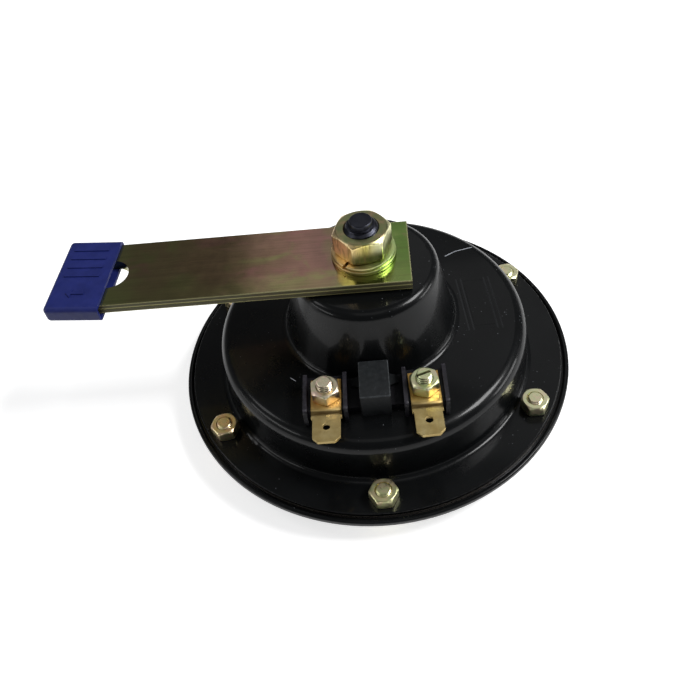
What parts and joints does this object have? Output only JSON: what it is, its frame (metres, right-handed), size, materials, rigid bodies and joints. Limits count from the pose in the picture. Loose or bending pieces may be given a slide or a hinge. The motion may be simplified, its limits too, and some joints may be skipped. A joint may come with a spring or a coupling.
{
  "type": "car horn",
  "caption": "Disc-type electromagnetic car horn with a stepped black steel housing, a leaf-type mounting bracket with a push-on end cap, and blade terminals.",
  "frame": {"origin": "on the horn's axis, at the flat face of the front cover that it rests on", "axes": "+Z runs along the horn's axis from the front cover to the mounting stud, -X is the direction in which the bracket points, and the terminals are on the -Y side"},
  "size_m": [0.1235, 0.0998, 0.0544],
  "materials": {
    "black_paint": "semi-gloss black paint",
    "dark_steel": "blackened steel",
    "plain_steel": "turned or blanked plain steel",
    "spring_steel": "rolled spring steel",
    "yellow_zinc": "yellow passivated zinc plate",
    "tab_brass": "dull brass",
    "brass": "bright brass",
    "contact_metal": "hard bright contact metal",
    "copper_wire": "enamelled copper wire",
    "black_plastic": "moulded insulating resin, matt",
    "charcoal_plastic": "charcoal moulding, matt",
    "blue_plastic": "soft deep blue plastic",
    "gasket_fibre": "pressed paper gasket",
    "insulator_board": "resin-bonded board"
  },
  "bodies": {
    "horn": {"housing": "black_paint", "front_cover": "black_paint", "front_gasket": "gasket_fibre", "rear_gasket": "gasket_fibre", "diaphragm": "spring_steel", "flange_screws": "yellow_zinc", "flange_nuts": "yellow_zinc", "pole_core": "dark_steel", "seat_washer": "dark_steel", "bracket_lower_leaf": "yellow_zinc", "bracket_upper_leaf": "yellow_zinc", "flat_washer": "yellow_zinc", "spring_washer": "yellow_zinc", "mounting_nut": "yellow_zinc", "coil_bobbin": "black_plastic", "coil_winding": "copper_wire", "yoke_plate": "plain_steel", "moving_arm_pad": "insulator_board", "fixed_arm_pad": "insulator_board", "breaker_rivets": "brass", "fixed_contact": "contact_metal", "fixed_arm": "spring_steel", "adjusting_screw": "dark_steel", "adjuster_cover": "charcoal_plastic", "terminal_base": "black_plastic", "inner_insulators": "insulator_board", "coil_leads": "copper_wire", "breaker_lead": "copper_wire", "terminal_tab_left": "tab_brass", "terminal_stud_left": "yellow_zinc", "terminal_nut_left": "yellow_zinc", "terminal_tab_right": "tab_brass", "terminal_stud_right": "yellow_zinc", "terminal_nut_right": "yellow_zinc"},
    "armature_set": {"armature": "plain_steel", "armature_spacer": "plain_steel", "tone_disc": "plain_steel", "armature_washer": "plain_steel", "armature_nut": "plain_steel"},
    "contact_arm": {"moving_arm": "spring_steel", "moving_contact": "contact_metal"},
    "cap": {"protective_cap": "blue_plastic"}
  },
  "joints": [
    {"name": "armature_travel", "type": "slide", "parent": "horn", "child": "armature_set", "axis": [0, 0, 1], "range_m": [0, 0.0006], "stiffness_N_per_m": 20000, "deforming": ["diaphragm"]},
    {"name": "contact_arm_flex", "type": "hinge", "parent": "horn", "child": "contact_arm", "pos_m": [0.0182, -0.01105, 0.01782], "axis": [0, 1, 0], "range_deg": [0, 3]},
    {"name": "cap_pull", "type": "slide", "parent": "horn", "child": "cap", "axis": [-1, 0, 0], "range_m": [0, 0.03]}
  ],
  "couplings": [
    {"joint": "contact_arm_flex", "follows": "armature_travel", "rad_per_m": 82.1}
  ]
}
